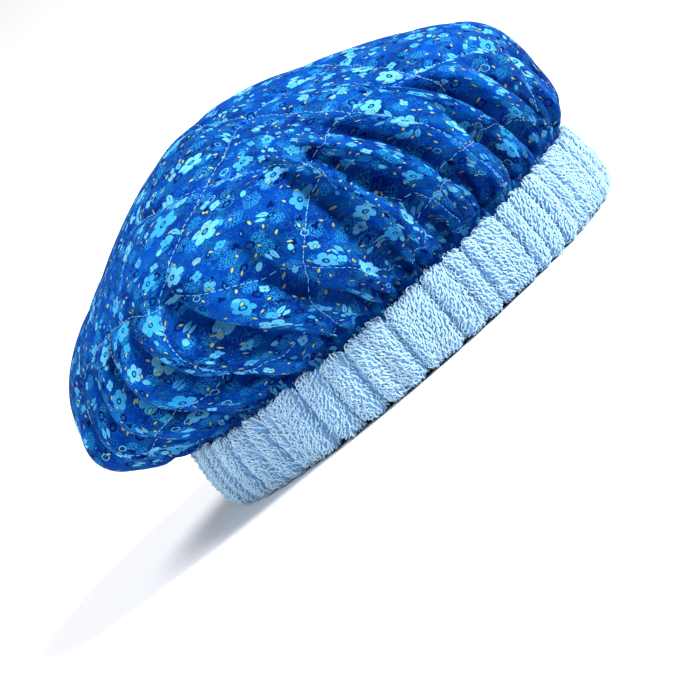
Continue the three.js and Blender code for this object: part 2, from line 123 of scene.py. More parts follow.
class Dome:
    """Dome blended from its front, back and side meridians."""

    def __init__(self, table, seam_out):
        seam_x, seam_y = HALF_LENGTH + seam_out, HALF_BREADTH + seam_out
        front, back, side = table["reach"]
        height = table["height"]
        self.fore, self.fore_length = meridian(
            seam_x + CROWN_SETBACK, front + CROWN_SETBACK, height, table["front"])
        self.aft, self.aft_length = meridian(
            seam_x - CROWN_SETBACK, back - CROWN_SETBACK, height, table["back"])
        self.beam, self.beam_length = meridian(seam_y, side, height, table["side"])
        self.at = np.linspace(0, 1, len(self.fore))

    def __call__(self, angle, share):
        angle, share = np.broadcast_arrays(np.asarray(angle, float), np.asarray(share, float))
        read = [[np.interp(share, self.at, curve[:, k]) for k in (0, 1)]
                for curve in (self.fore, self.aft, self.beam)]
        (fore_out, fore_up), (aft_out, aft_up), (beam_out, beam_up) = read
        along, across = np.cos(angle), np.sin(angle)
        axis = -CROWN_SETBACK * ease(share)
        fore_x = fore_out - CROWN_SETBACK - axis
        aft_x = aft_out + CROWN_SETBACK + axis
        x = axis + along * (fore_x + aft_x + (fore_x - aft_x) * along) / 2
        length_z = (fore_up + aft_up + (fore_up - aft_up) * along) / 2
        z = length_z * along * along + beam_up * across * across
        return np.stack([x, beam_out * across, z], -1)

    def normal(self, angle, share):
        angle, share = np.broadcast_arrays(np.asarray(angle, float), np.asarray(share, float))
        low, high = np.clip(share - 0.01, 0, 0.985), np.clip(share + 0.01, 0.01, 0.999)
        turn = self(angle + 0.02, share) - self(angle - 0.02, share)
        climb = self(angle, high) - self(angle, low)
        n = np.cross(turn, climb)
        size = np.linalg.norm(n, axis=-1, keepdims=True)
        return np.where(size > 1e-12, n / np.maximum(size, 1e-12), [0, 0, 1])


crest_dome = Dome(CREST, COVER_SEAM_OUT)
lining_dome = Dome(LINING, LINING_SEAM_OUT)


def above_lining(angle, share, lift):
    share = np.minimum(share, 0.995)
    lift = np.asarray(lift, float)
    return lining_dome(angle, share) + lining_dome.normal(angle, share) * lift[..., None]


def gather_at(turn_share, share):
    """Angle of the cloth between two valleys, and how far it sinks towards the lining.
    turn_share counts gathers from the first one."""
    index = np.floor(turn_share).astype(int)
    along = turn_share - index
    first, second = GATHERS[index % GATHER_COUNT], GATHERS[(index + 1) % GATHER_COUNT]

    def valley(gather, number):
        lean = gather[..., 1] * ease(share / gather[..., 2])
        return (gather[..., 0] + lean + np.floor(number / GATHER_COUNT)) * TURN

    def depth(gather):
        return gather[..., 3] * (1 - ease((share / gather[..., 2] - FOLD_HOLD) / FOLD_FADE))

    start, end = valley(first, index), valley(second, index + 1)
    mixed = depth(first) + (depth(second) - depth(first)) * ease(along)
    return start + (end - start) * along, mixed * (1 - np.sin(np.pi * along) ** VALLEY_SHAPE)


def folded_cover(turn_share, share):
    """Points of the cover with its gathers, and with three and five small pleats to a gather."""
    angle, sink = gather_at(turn_share, share)
    seam_step = COVER_SEAM_OUT - LINING_SEAM_OUT
    floor_lift = seam_step + (VALLEY_LIFT - seam_step) * ease(share / 0.2)
    crest = crest_dome(angle, share)
    low = above_lining(angle, share, floor_lift)
    pleats = (np.sin(TURN * (3 * turn_share + 0.35 * np.sin(turn_share * 1.3)))
              + 0.6 * np.sin(TURN * (5 * turn_share + 0.3 * np.sin(turn_share * 2.1))))
    pleats *= PLEAT_DEPTH * ease(share / 0.03) * (1 - ease((share - 0.05) / 0.14))
    return crest + (low - crest) * sink[..., None] + crest_dome.normal(angle, share) * pleats[..., None]


# Meshes
def new_mesh(name, points, faces):
    mesh = bpy.data.meshes.new(name)
    mesh.from_pydata(np.asarray(points, float).tolist(), [], [tuple(f) for f in faces])
    return mesh


def linked(name, data):
    """A new object that stands in the scene and shows the data."""
    obj = bpy.data.objects.new(name, data)
    bpy.context.scene.collection.objects.link(obj)
    return obj


def vertex_data(mesh, name):
    """One row for each vertex of a mesh: its place (co) or its normal."""
    data = np.empty(len(mesh.vertices) * 3, np.float32)
    mesh.vertices.foreach_get(name, data)
    return data.reshape(-1, 3).astype(float)


def new_object(name, points, faces, uv=None, material=None):
    """A smooth object, with flat coordinates in metres where uv gives them for its points."""
    mesh = new_mesh(name, points, faces)
    mesh.validate()
    if uv is not None:
        layer = mesh.uv_layers.new(name="flat_cloth")
        loops = np.empty(len(mesh.loops), int)
        mesh.loops.foreach_get("vertex_index", loops)
        layer.data.foreach_set("uv", np.asarray(uv, float)[loops].astype(np.float32).ravel())
    mesh.polygons.foreach_set("use_smooth", [True] * len(mesh.polygons))
    if material:
        mesh.materials.append(material)
    return linked(name, mesh)


NARROWEST, FEWEST_COLUMNS = 0.53, 13


def disc_grid(radius, ring_step, rim_columns, inner=0.004):
    """Rings of a flat disc from its rim to its centre, with columns halved as rings shorten.
    Returns ring radii, column counts, point numbers by ring, and faces."""
    radii, counts = [radius], [rim_columns]
    while radii[-1] - ring_step > inner:
        at = radii[-1] - ring_step
        count = counts[-1]
        if count % 2 == 0 and TURN * at / count < NARROWEST * ring_step and count > FEWEST_COLUMNS:
            count //= 2
        radii.append(at)
        counts.append(count)
    starts = np.r_[0, np.cumsum(counts)]
    faces = []
    for k in range(len(radii) - 1):
        a0, n0, b0, n1 = starts[k], counts[k], starts[k + 1], counts[k + 1]
        for c in range(n1):
            if n0 == n1:
                d = (c + 1) % n0
                faces.append((a0 + c, a0 + d, b0 + d, b0 + c))
            else:
                e, f, g = 2 * c, 2 * c + 1, (2 * c + 2) % n0
                h = (c + 1) % n1
                faces += [(a0 + e, a0 + f, b0 + c), (a0 + f, b0 + h, b0 + c), (a0 + f, a0 + g, b0 + h)]
    centre = starts[-1]
    last, n = starts[-2], counts[-1]
    faces += [(last + c, last + (c + 1) % n, centre) for c in range(n)]
    return np.array(radii), np.array(counts), starts, faces


def disc_places(radii, counts):
    """Share of a turn, and distance from the centre, of each point of a disc grid."""
    turns = np.concatenate([np.arange(n) / n for n in counts] + [[0.0]])
    return turns, np.concatenate([np.full(n, r) for r, n in zip(radii, counts)] + [[0.0]])


def skirt_faces(rim_count, foot_start):
    """Faces between the first points of a grid, which are its rim, and the foot points below them."""
    rim = np.arange(rim_count)
    after = (rim + 1) % rim_count
    return np.c_[foot_start + rim, foot_start + after, after, rim].tolist()


RIM_COLUMNS, RING_STEP = 416, 0.0032
radii, counts, starts, disc_faces = disc_grid(CLOTH_RADIUS, RING_STEP, RIM_COLUMNS)
turn, ring_radius = disc_places(radii, counts)
turn *= GATHER_COUNT
share = 1 - ring_radius / CLOTH_RADIUS
flat_angle = turn / GATHER_COUNT * TURN
flat = np.stack([ring_radius * np.cos(flat_angle), ring_radius * np.sin(flat_angle)], -1)
cover_points = folded_cover(turn, share)


# Cloth simulation, ten times as large as the cap
SIM_SCALE, SIM_FRAMES = 10, 30
FULLNESS = 1.07
VALLEY_WIDTH, VALLEY_HOLD = 0.12, 0.6
CROWN_SWELL = 0.0006
WALL_STEP, WALL_COLUMNS, WALL_LIFT = 0.006, 128, 0.0005


def settle_cloth(points, rest, faces, held, wall_points, wall_faces):
    """Lets the sheet settle on a wall, from points towards its flat shape rest. Held is from 0 to 1."""
    cloth = linked("sim_cloth", new_mesh("sim_cloth", points * SIM_SCALE, faces))
    cloth.shape_key_add(name="Basis")
    key = cloth.shape_key_add(name="flat")
    key.data.foreach_set("co", (rest * SIM_SCALE).astype(np.float32).ravel())
    key.value = 0
    group = cloth.vertex_groups.new(name="held")
    for weight in np.unique(held):
        if weight > 0:
            group.add(np.nonzero(held == weight)[0].tolist(), float(weight), "REPLACE")

    wall = linked("sim_wall", new_mesh("sim_wall", wall_points * SIM_SCALE, wall_faces))
    wall.modifiers.new("Collision", "COLLISION")
    wall.collision.thickness_outer = 0.01
    wall.collision.cloth_friction = 4

    modifier = cloth.modifiers.new("Cloth", "CLOTH")
    s = modifier.settings
    s.quality = 7
    s.mass = 0.25
    s.air_damping = 3
    s.tension_stiffness = 25
    s.compression_stiffness = 25
    s.shear_stiffness = 12
    s.bending_stiffness = 1.2
    s.tension_damping = s.compression_damping = s.shear_damping = 10
    s.bending_damping = 1
    s.vertex_group_mass = "held"
    s.pin_stiffness = 4
    s.rest_shape_key = key
    s.use_pressure = True
    s.uniform_pressure_force = 0.32
    s.effector_weights.gravity = 0
    modifier.collision_settings.collision_quality = 3
    modifier.collision_settings.distance_min = 0.012
    scene = bpy.context.scene
    modifier.point_cache.frame_start = 1
    modifier.point_cache.frame_end = SIM_FRAMES
    for frame_number in range(1, SIM_FRAMES + 1):
        scene.frame_set(frame_number)
    settled = cloth.evaluated_get(bpy.context.evaluated_depsgraph_get()).to_mesh()
    found = vertex_data(settled, "co") / SIM_SCALE
    scene.frame_set(1)
    bpy.data.objects.remove(cloth)
    bpy.data.objects.remove(wall)
    return found


def held_weights():
    """Weights that sew the rim down and keep the cloth near the bottom of its valleys."""
    along_gather = turn - np.floor(turn)
    near_valley = np.exp(-(np.minimum(along_gather, 1 - along_gather) / VALLEY_WIDTH) ** 2)
    depth = np.clip(gather_at(np.round(turn), share)[1] * 1.2, 0, 1)
    return np.where(share <= 1e-6, 1.0, np.round(VALLEY_HOLD * depth * near_valley, 2))


length_front, length_back, length_side = (
    crest_dome.fore_length, crest_dome.aft_length, crest_dome.beam_length)
along, across = np.cos(flat_angle), np.sin(flat_angle)
reach = (length_side * across ** 2
         + along ** 2 * (length_front + length_back + (length_front - length_back) * along) / 2)
rest = np.c_[flat * (reach / CLOTH_RADIUS * FULLNESS)[:, None], np.zeros(len(flat))]
wall_radii, wall_counts, _, wall_faces = disc_grid(CLOTH_RADIUS, WALL_STEP, WALL_COLUMNS)
wall_turn, wall_rings = disc_places(wall_radii, wall_counts)
wall_share = 1 - wall_rings / CLOTH_RADIUS
wall_lift = WALL_LIFT + (VALLEY_LIFT - 2 * WALL_LIFT) * ease(wall_share / 0.2)
wall_points = above_lining(wall_turn * TURN, wall_share, wall_lift)
cover_points = settle_cloth(cover_points, rest, disc_faces, held_weights(), wall_points, wall_faces)
drawn_in = CROWN_SWELL * ease((share - 0.2) / 0.3)
cover_points -= crest_dome.normal(flat_angle, share) * drawn_in[:, None]


# Shader helper
class Paint:
    """Writes the nodes of one material. A number or a socket may stand for any value."""

    def __init__(self, name):
        self.material = bpy.data.materials.new(name)
        self.material.use_nodes = True
        self.tree = self.material.node_tree
        self.shader = self.tree.nodes["Principled BSDF"]

    def put(self, socket, value):
        if isinstance(value, bpy.types.NodeSocket):
            self.tree.links.new(value, socket)
        elif value is not None:
            if socket.type == "RGBA" and len(value) == 3:
                value = (*value, 1)
            socket.default_value = value

    def node(self, kind, inputs=None, **settings):
        made = self.tree.nodes.new(kind)
        for key, value in settings.items():
            setattr(made, key, value)
        for key, value in (inputs or {}).items():
            self.put(made.inputs[key], value)
        return made

    def math(self, operation, a, b=None, clamp=False):
        made = self.node("ShaderNodeMath", operation=operation, use_clamp=clamp)
        self.put(made.inputs[0], a)
        if b is not None:
            self.put(made.inputs[1], b)
        return made.outputs[0]

    def add(self, a, b):
        return self.math("ADD", a, b)

    def sub(self, a, b):
        return self.math("SUBTRACT", a, b)

    def mul(self, a, b):
        return self.math("MULTIPLY", a, b)

    def sine(self, a):
        return self.math("SINE", a)

    def size_of(self, a):
        return self.math("ABSOLUTE", a)

    def rest(self, share):
        return self.sub(1.0, share)

    def less(self, value, edge, soft):
        """1 where value is under edge, 0 where it is over, with a soft step."""
        return self.math("MULTIPLY", self.sub(edge, value), 1 / soft, clamp=True)

    def picked(self, pick, share):
        """1 in that share of the cells whose random number is pick."""
        return self.less(pick, share, 0.01)

    def mix(self, share, a, b):
        made = self.node("ShaderNodeMix", data_type="RGBA")
        self.put(made.inputs[0], share)
        self.put(made.inputs[6], a)
        self.put(made.inputs[7], b)
        return made.outputs[2]

    def blend(self, share, a, b):
        made = self.node("ShaderNodeMix", data_type="FLOAT")
        self.put(made.inputs[0], share)
        self.put(made.inputs[2], a)
        self.put(made.inputs[3], b)
        return made.outputs[0]

    def split(self, vector):
        return self.node("ShaderNodeSeparateXYZ", {0: vector}).outputs

    def join(self, x, y, z=0.0):
        return self.node("ShaderNodeCombineXYZ", {0: x, 1: y, 2: z}).outputs[0]

    def scaled(self, vector, scale):
        return self.node("ShaderNodeMapping", {"Vector": vector, "Scale": (scale, scale, scale)}).outputs[0]

    def moved(self, vector, x, y):
        return self.node("ShaderNodeMapping", {"Vector": vector, "Location": (x, y, 0)}).outputs[0]

    def in_mm(self, kind="ShaderNodeNewGeometry", output="Position"):
        """The point's place in millimetres, as that node gives it."""
        return self.scaled(self.node(kind).outputs[output], 1000.0)

    def flat_mm(self):
        """The point's place on the flat cloth, in millimetres."""
        return self.scaled(self.node("ShaderNodeUVMap", uv_map="flat_cloth").outputs[0], 1000.0)

    def noise(self, vector, scale, detail=2.0, rough=0.5, distortion=0.0):
        return self.node("ShaderNodeTexNoise", {
            "Vector": vector, "Scale": scale, "Detail": detail, "Roughness": rough,
            "Distortion": distortion}).outputs[0]

    def cells(self, vector, move, size, randomness):
        """Motif places on the vector moved by move: the point's place about its cell's centre, turned at
        random, and two random numbers of the cell."""
        vector = self.moved(vector, *move)
        found = self.node("ShaderNodeTexVoronoi", {
            "Vector": vector, "Scale": 1 / size, "Randomness": randomness}, voronoi_dimensions="2D")
        local = self.node("ShaderNodeVectorMath", {0: vector, 1: found.outputs["Position"]},
                          operation="SUBTRACT").outputs[0]
        red, green, blue = self.node("ShaderNodeSeparateColor", {0: found.outputs["Color"]}).outputs[:3]
        turned = self.node("ShaderNodeVectorRotate", {"Vector": local, "Angle": self.mul(red, TURN)},
                           rotation_type="Z_AXIS").outputs[0]
        return self.split(turned)[:2], (red, green, blue)

    def distance(self, x, y):
        return self.math("SQRT", self.add(self.mul(x, x), self.mul(y, y)))

    def polar(self, place):
        x, y = place
        return self.math("ARCTAN2", y, x), self.distance(x, y)

    def oval(self, place, half_length, half_width, soft):
        x, y = self.mul(place[0], 1 / half_length), self.mul(place[1], 1 / half_width)
        return self.less(self.distance(x, y), 1.0, soft / half_width)

    def leaf(self, place, half_length, half_width, soft, shift_x=0.0, shift_y=0.0):
        x = self.mul(self.sub(place[0], shift_x), 1 / half_length)
        rim = self.mul(self.rest(self.mul(x, x)), half_width)
        return self.less(self.size_of(self.sub(place[1], shift_y)), rim, soft)

    def weave(self, x, y, pitch):
        """Plain weave with so many millimetres between its yarns, from -1 to 1."""
        return self.mul(self.sine(self.mul(x, TURN / pitch)), self.sine(self.mul(y, TURN / pitch)))

    def bump(self, height, distance, strength, under=None):
        made = self.node("ShaderNodeBump", {"Height": height, "Distance": distance, "Strength": strength})
        self.put(made.inputs["Normal"], under)
        return made.outputs[0]

    def finish(self, **inputs):
        for key, value in inputs.items():
            self.put(self.shader.inputs[key.replace("_", " ")], value)
        return self.material


ROYAL = (0.0006, 0.058, 0.39)
DEEP = (0.0003, 0.006, 0.13)
NAVY = (0.0003, 0.003, 0.055)
SKY = (0.024, 0.35, 0.74)
PALE = (0.17, 0.62, 0.86)
TEAL = (0.004, 0.11, 0.26)
GOLD, LIME = (0.40, 0.47, 0.07), (0.36, 0.52, 0.20)
OLIVE = (0.03, 0.15, 0.10)
STIPPLE_BLUE, PETAL_BLUE = (0.006, 0.17, 0.50), (0.012, 0.17, 0.50)
# The second colour on the next line is painted shade for the creases and the cloth above the band
YARN_BLUE, PAINTED_SHADE_BLUE = (0.004, 0.07, 0.40), (0.0, 0.002, 0.062)


def printed_cotton():
    """Royal blue cotton with a small all-over flower print, drawn in millimetres of the flat cloth."""
    p = Paint("printed_cotton")
    mm = p.flat_mm()
    wobble = p.node("ShaderNodeTexNoise", {"Vector": mm, "Scale": 0.22, "Detail": 1.0}).outputs[1]
    wobble = p.node("ShaderNodeVectorMath", {0: wobble, 1: (0.5, 0.5, 0.5)}, operation="SUBTRACT").outputs[0]
    bent = p.node("ShaderNodeVectorMath", {0: wobble, 1: (1.6, 1.6, 0), 2: mm},
                  operation="MULTIPLY_ADD").outputs[0]

    # Ground: royal blue with cloudy deeper and teal patches
    cloud = p.noise(mm, 0.045, 3.0, 0.6)
    colour = p.mix(p.less(cloud, 0.66, 0.3), ROYAL, DEEP)
    haze = p.noise(p.moved(mm, 31, 7), 0.09, 4.0, 0.65)
    colour = p.mix(p.mul(p.less(p.rest(haze), 0.5, 0.16), 0.5), colour, TEAL)

    # Fine curls in green, and light blue scribbles, cut short by a second noise
    for seed, tint, width, scale, much in ((3, OLIVE, 0.018, 0.30, 0.9), (57, SKY, 0.014, 0.36, 0.75)):
        line = p.noise(p.moved(bent, seed, seed * 2), scale, 1.0, 0.4, distortion=1.2)
        near = p.less(p.size_of(p.sub(line, 0.5)), width, width * 0.6)
        where = p.noise(p.moved(mm, seed * 3, seed), 0.14, 1.0)
        colour = p.mix(p.mul(p.mul(near, p.less(p.rest(where), 0.50, 0.06)), much), colour, tint)

    # Stippled light patches: small dots kept inside soft blobs, and a faint stipple over all
    grainy = p.noise(mm, 0.95, 3.0, 0.75)
    colour = p.mix(p.mul(p.less(p.rest(grainy), 0.47, 0.10), 0.42), colour, STIPPLE_BLUE)
    place, (pick, size, _) = p.cells(bent, (11, 83), 10.5, 0.85)
    blob = p.less(p.distance(*place), p.add(2.4, p.mul(size, 2.0)), 0.9)
    dots = p.node("ShaderNodeTexVoronoi", {"Vector": mm, "Scale": 1 / 0.75, "Randomness": 0.9},
                  voronoi_dimensions="2D").outputs["Distance"]
    stipple = p.mul(p.mul(blob, p.less(dots, 0.45, 0.25)), p.picked(pick, 0.92))
    colour = p.mix(p.mul(stipple, 0.85), colour, SKY)

    # Dark motifs: rings with a hole, seeds and three-cornered spots
    place, (pick, size, _) = p.cells(bent, (5, 41), 9.5, 0.9)
    turned, far = p.polar(place)
    ring = p.less(p.size_of(p.sub(far, p.add(1.2, p.mul(size, 0.5)))), 0.55, 0.25)
    colour = p.mix(p.mul(ring, p.picked(pick, 0.34)), colour, NAVY)
    shown = p.mul(p.picked(pick, 0.62), p.rest(p.picked(pick, 0.34)))
    colour = p.mix(p.mul(p.oval(place, 2.0, 1.0, 0.25), shown), colour, NAVY)
    colour = p.mix(p.mul(p.oval(place, 1.0, 0.4, 0.25), shown), colour, SKY)
    three = p.mul(p.size_of(p.math("COSINE", p.mul(turned, 1.5))), 0.9)
    spot = p.less(far, p.add(0.9, three), 0.25)
    colour = p.mix(p.mul(spot, p.rest(p.picked(pick, 0.86))), colour, NAVY)

    # Leaf pairs with a vein, single drops and hoops in light blue
    place, (pick, _, tone) = p.cells(bent, (71, 19), 12.5, 0.8)
    light, in_pairs = p.mix(tone, SKY, PALE), p.picked(pick, 0.36)
    pair = p.math("MAXIMUM", p.leaf(place, 2.7, 1.15, 0.25, 1.4, 1.15),
                  p.leaf(place, 2.3, 0.95, 0.25, 0.9, -1.2))
    colour = p.mix(p.mul(pair, in_pairs), colour, light)
    colour = p.mix(p.mul(p.leaf(place, 2.3, 0.22, 0.15, 1.4, 1.15), in_pairs), colour, ROYAL)
    drop = p.oval(place, 1.7, 1.15, 0.25)
    colour = p.mix(p.mul(drop, p.rest(p.picked(pick, 0.66))), colour, light)
    hoop = p.less(p.size_of(p.sub(p.distance(*place), 1.5)), 0.26, 0.2)
    colour = p.mix(p.mul(hoop, p.mul(p.picked(pick, 0.5), p.rest(in_pairs))), colour, PALE)

    # Blossoms: a smaller one with four petals, and a larger one with five
    speck = p.noise(mm, 1.5, 2.0, 0.7)
    for move, spacing, petals, radius, share_shown, heart in (
            ((23, 61), 12.5, 4, 2.4, 0.5, 0.5), ((91, 37), 24.0, 5, 5.2, 0.7, 1.5)):
        place, (pick, size, tone) = p.cells(bent, move, spacing, 0.7)
        turned, far = p.polar(place)
        wave = p.math("POWER", p.size_of(p.math("COSINE", p.mul(turned, petals / 2))), 0.55)
        reach = p.mul(p.add(0.52, p.mul(wave, 0.48)), p.add(radius * 0.78, p.mul(size, radius * 0.3)))
        shown = p.picked(pick, share_shown)
        petal = p.mix(p.mul(p.less(speck, 0.52, 0.2), 0.6), p.mix(tone, SKY, PALE), PETAL_BLUE)
        petal = p.mix(p.less(p.sub(reach, far), 0.35, 0.3), petal, PALE)
        for edge, soft, tint in ((reach, 0.25, petal), (heart, 0.25, NAVY), (heart * 0.55, 0.2, SKY)):
            colour = p.mix(p.mul(p.less(far, edge, soft), shown), colour, tint)

    # Gold buds with a dark edge
    place, (pick, _, tone) = p.cells(bent, (43, 13), 6.4, 1.0)
    shown = p.picked(pick, 0.56)
    colour = p.mix(p.mul(p.mul(p.leaf(place, 1.65, 0.95, 0.3), shown), 0.7), colour, DEEP)
    colour = p.mix(p.mul(p.leaf(place, 1.2, 0.55, 0.2), shown), colour, p.mix(tone, GOLD, LIME))

    # Weave and small unevenness of the yarns
    x, y = p.split(mm)[:2]
    weave = p.weave(x, y, 0.45)
    yarn = p.noise(p.join(p.mul(x, 0.35), p.mul(y, 3.0)), 1.0, 2.0, 0.6)
    colour = p.mix(p.mul(p.add(yarn, p.mul(weave, 0.12)), 0.18), colour, YARN_BLUE)
    under = p.bump(p.noise(mm, 0.5, 4.0, 0.7), 0.0006, 0.35)

    # Painted shade: the cloth deep in the creases, and just above the band, is mixed towards a dark blue
    painted_shade = p.node("ShaderNodeAttribute", attribute_name="painted_crease_shade").outputs["Fac"]
    colour = p.mix(p.mul(painted_shade, 0.84), colour, PAINTED_SHADE_BLUE)
    return p.finish(Base_Color=colour, Roughness=p.blend(yarn, 0.6, 0.76),
                    Normal=p.bump(weave, 0.00005, 0.6, under),
                    Sheen_Weight=0.01, Sheen_Roughness=0.5, Sheen_Tint=(0.05, 0.3, 1.0, 1),
                    Specular_IOR_Level=0.05, Specular_Tint=(0.1, 0.35, 1.0, 1))


def plain_cotton():
    """Plain blue lining cotton."""
    p = Paint("plain_cotton")
    mm = p.flat_mm()
    x, y = p.split(mm)[:2]
    slub = p.noise(p.join(p.mul(x, 0.08), p.mul(y, 1.6)), 1.0, 2.0, 0.6)
    cloud = p.noise(mm, 0.05, 3.0, 0.6)
    colour = p.mix(cloud, (0.018, 0.13, 0.50), (0.03, 0.19, 0.62))
    colour = p.mix(p.mul(slub, 0.3), colour, (0.10, 0.30, 0.72))
    under = p.bump(slub, 0.0002, 0.5)
    return p.finish(Base_Color=colour, Roughness=p.blend(slub, 0.7, 0.85),
                    Normal=p.bump(p.weave(x, y, 0.55), 0.00006, 0.6, under),
                    Sheen_Weight=0.15, Sheen_Roughness=0.5, Specular_IOR_Level=0.3)


def terry_yarn(name, dark, light, painted_shade):
    """Soft cotton yarn whose tone drifts from loop to loop."""
    p = Paint(name)
    mm = p.in_mm()
    fine = p.noise(mm, 1.1, 2.0, 0.6)
    colour = p.mix(p.noise(mm, 0.12, 3.0, 0.6), dark, light)
    # Small random spots are painted darker, as painted shade in the yarn's hollows
    painted_hollow_shade = (dark[0] * 0.45, dark[1] * 0.6, dark[2] * 0.85)
    colour = p.mix(p.mul(p.less(fine, 0.5, 0.25), painted_shade), colour, painted_hollow_shade)
    return p.finish(Base_Color=colour, Roughness=p.blend(fine, 0.85, 0.98),
                    Normal=p.bump(p.noise(mm, 2.6, 2.0, 0.6), 0.0003, 0.5),
                    Sheen_Weight=0.35, Sheen_Roughness=0.5, Specular_IOR_Level=0.2)


def sewing_thread():
    """Light blue thread with a fine twist."""
    p = Paint("sewing_thread")
    mm = p.in_mm()
    colour = p.mix(p.noise(mm, 0.4, 2.0, 0.6), (0.08, 0.36, 0.76), (0.24, 0.56, 0.90))
    return p.finish(Base_Color=colour, Roughness=0.55, Normal=p.bump(p.noise(mm, 4.0, 1.0), 0.0001, 0.4),
                    Sheen_Weight=0.1, Specular_IOR_Level=0.45)


def woven_elastic():
    """White flat elastic: ribs along its length, crossed by rubber threads."""
    p = Paint("woven_elastic")
    x, y, z = p.split(p.in_mm("ShaderNodeTexCoord", "Object"))
    ribs = p.sine(p.mul(z, TURN / 1.1))
    crossing = p.sine(p.mul(p.math("ARCTAN2", y, x), 420))
    cloth = p.add(p.mul(ribs, 0.6), p.mul(crossing, 0.4))
    raised = p.mul(p.add(cloth, 1.0), 0.5)
    # The colour follows the weave's height: its low parts are painted grey, as painted shade in the grooves
    colour = p.mix(raised, (0.62, 0.62, 0.58), (0.86, 0.86, 0.82))
    return p.finish(Base_Color=colour, Roughness=p.blend(raised, 0.8, 0.55),
                    Normal=p.bump(cloth, 0.0003, 0.8), Sheen_Weight=0.1)


def flax_seed():
    """A pocketful of glossy brown seeds, seen as a bed of small ovals."""
    p = Paint("flax_seed")
    found = p.node("ShaderNodeTexVoronoi", {
        "Vector": p.in_mm("ShaderNodeTexCoord", "Object"), "Scale": 0.36, "Randomness": 0.9})
    tone = p.node("ShaderNodeSeparateColor", {0: found.outputs["Color"]}).outputs[0]
    colour = p.mix(tone, (0.13, 0.05, 0.018), (0.30, 0.14, 0.05))
    edge = p.less(found.outputs["Distance"], 0.62, 0.3)
    # Painted shade: the gaps between the seed ovals are painted near black
    colour = p.mix(p.rest(edge), colour, (0.04, 0.015, 0.006))
    return p.finish(Base_Color=colour, Roughness=p.blend(tone, 0.3, 0.45),
                    Normal=p.bump(edge, 0.0008, 0.8), Coat_Weight=0.15)


# Quilting on the flat cloth
COS_TURN, SIN_TURN = math.cos(QUILT_ANGLE), math.sin(QUILT_ANGLE)


def quilting(flat_points):
    """How far the sewn lines pull the cloth down, with small puckers beside them."""
    squared, puckers = np.zeros(len(flat_points)), np.zeros(len(flat_points))
    x, y = flat_points.T
    along, across = x * COS_TURN + y * SIN_TURN, -x * SIN_TURN + y * COS_TURN
    radius = np.hypot(along, across)
    for run, over in ((along, across), (across, along)):
        number = np.round(over / QUILT_PITCH)
        off = over - number * QUILT_PITCH
        wander = number * 1.7
        pucker = (np.sin(run / 0.0017 + 2.1 * np.sin(run / 0.011 + wander) + wander)
                  + 0.6 * np.sin(run / 0.0031 + wander * 2))
        squared += (0.0011 * np.exp(-(off / 0.0021) ** 2) + 0.0016 * np.exp(-np.abs(off) / 0.008)) ** 2
        puckers += 0.00028 * pucker * np.exp(-(off / 0.0055) ** 2)
    return (np.sqrt(squared) + puckers) * (1 - 0.35 * ease((radius - 0.15) / 0.04))


def flat_polar(flat_points):
    """Distance from the flat cloth's centre, and turn in gathers."""
    x, y = flat_points.T
    return np.hypot(x, y), np.mod(np.arctan2(y, x) / TURN, 1) * GATHER_COUNT


def creasing(flat_points, width):
    """Share of the depth of creases along the valleys, and along shorter pleats beside the band."""
    radius, turned = flat_polar(flat_points)
    at = 1 - radius / CLOTH_RADIUS
    number = np.round(turned)
    column = TURN / GATHER_COUNT * radius
    off = (turned - number) * column + 0.0007 * np.sin(radius / 0.006 + number * 2.1)
    down = np.clip(gather_at(number, at)[1], 0, 1) * np.exp(-np.abs(off) / width)
    number = np.floor(turned)
    for place, climb, deep in ((0.3, 0.17, 0.8), (0.68, 0.13, 0.6)):
        off = (turned - number - place - 0.08 * np.sin(number * 3.7 + place * 9)) * column
        length = climb * (1 + 0.35 * np.sin(number * 5.3 + place * 4))
        down += deep * np.exp(-np.abs(off) / width) * (1 - ease((at / length - 0.4) / 0.6))
    return down * ease((at - 0.004) / 0.02)


def hanging(flat_points):
    """How far the puffs between the valleys hang down over the band's upper edge."""
    radius, turned = flat_polar(flat_points)
    at = 1 - radius / CLOTH_RADIUS
    off = (turned - np.round(turned)) * TURN / GATHER_COUNT * radius
    low = ease((at - 0.012) / 0.03) * (1 - ease((at - 0.07) / 0.08))
    return PUFF_DROP * low * (1 - np.exp(-(off / 0.005) ** 2))


# Cover
# PAINTED_SHADE_WIDTH is the width of the painted shade beside each crease
CREASE_DEPTH, CREASE_WIDTH, PAINTED_SHADE_WIDTH, PUFF_DROP = 0.003, 0.0022, 0.0042, 0.0022


def with_skirt(points, faces, flat_points, rim_count):
    """A dome's points, faces and flat points, with its rim carried down to the seam's foot."""
    foot = points[:rim_count].copy()
    foot[:, 2] = SEAM_FOOT
    foot_flat = flat_points[:rim_count] * (1 + TUCK / CLOTH_RADIUS)
    return (np.vstack([points, foot]), faces + skirt_faces(rim_count, len(points)),
            np.vstack([flat_points, foot_flat]))


def smoothed(obj):
    """Gives the object one round of subdivision that keeps its flat coordinates straight."""
    modifier = obj.modifiers.new("smooth", "SUBSURF")
    modifier.levels = modifier.render_levels = 1
    modifier.uv_smooth = "NONE"


def subdivided(points, faces, uv):
    """The smooth mesh of a cage: points, faces, and flat coordinates and normals by point."""
    obj = new_object("cage", points, faces, uv=uv)
    smoothed(obj)
    mesh = obj.evaluated_get(bpy.context.evaluated_depsgraph_get()).to_mesh()
    corner = np.empty(len(mesh.loops), int)
    mesh.loops.foreach_get("vertex_index", corner)
    total = np.empty(len(mesh.polygons), int)
    mesh.polygons.foreach_get("loop_total", total)
    data = np.empty(len(mesh.loops) * 2, np.float32)
    mesh.uv_layers[0].data.foreach_get("uv", data)
    flat_by_point = np.zeros((len(mesh.vertices), 2))
    flat_by_point[corner] = data.reshape(-1, 2)
    polygons = [q.tolist() for q in np.split(corner, np.cumsum(total)[:-1])]
    found = vertex_data(mesh, "co"), polygons, flat_by_point, vertex_data(mesh, "normal")
    bpy.data.objects.remove(obj)
    return found


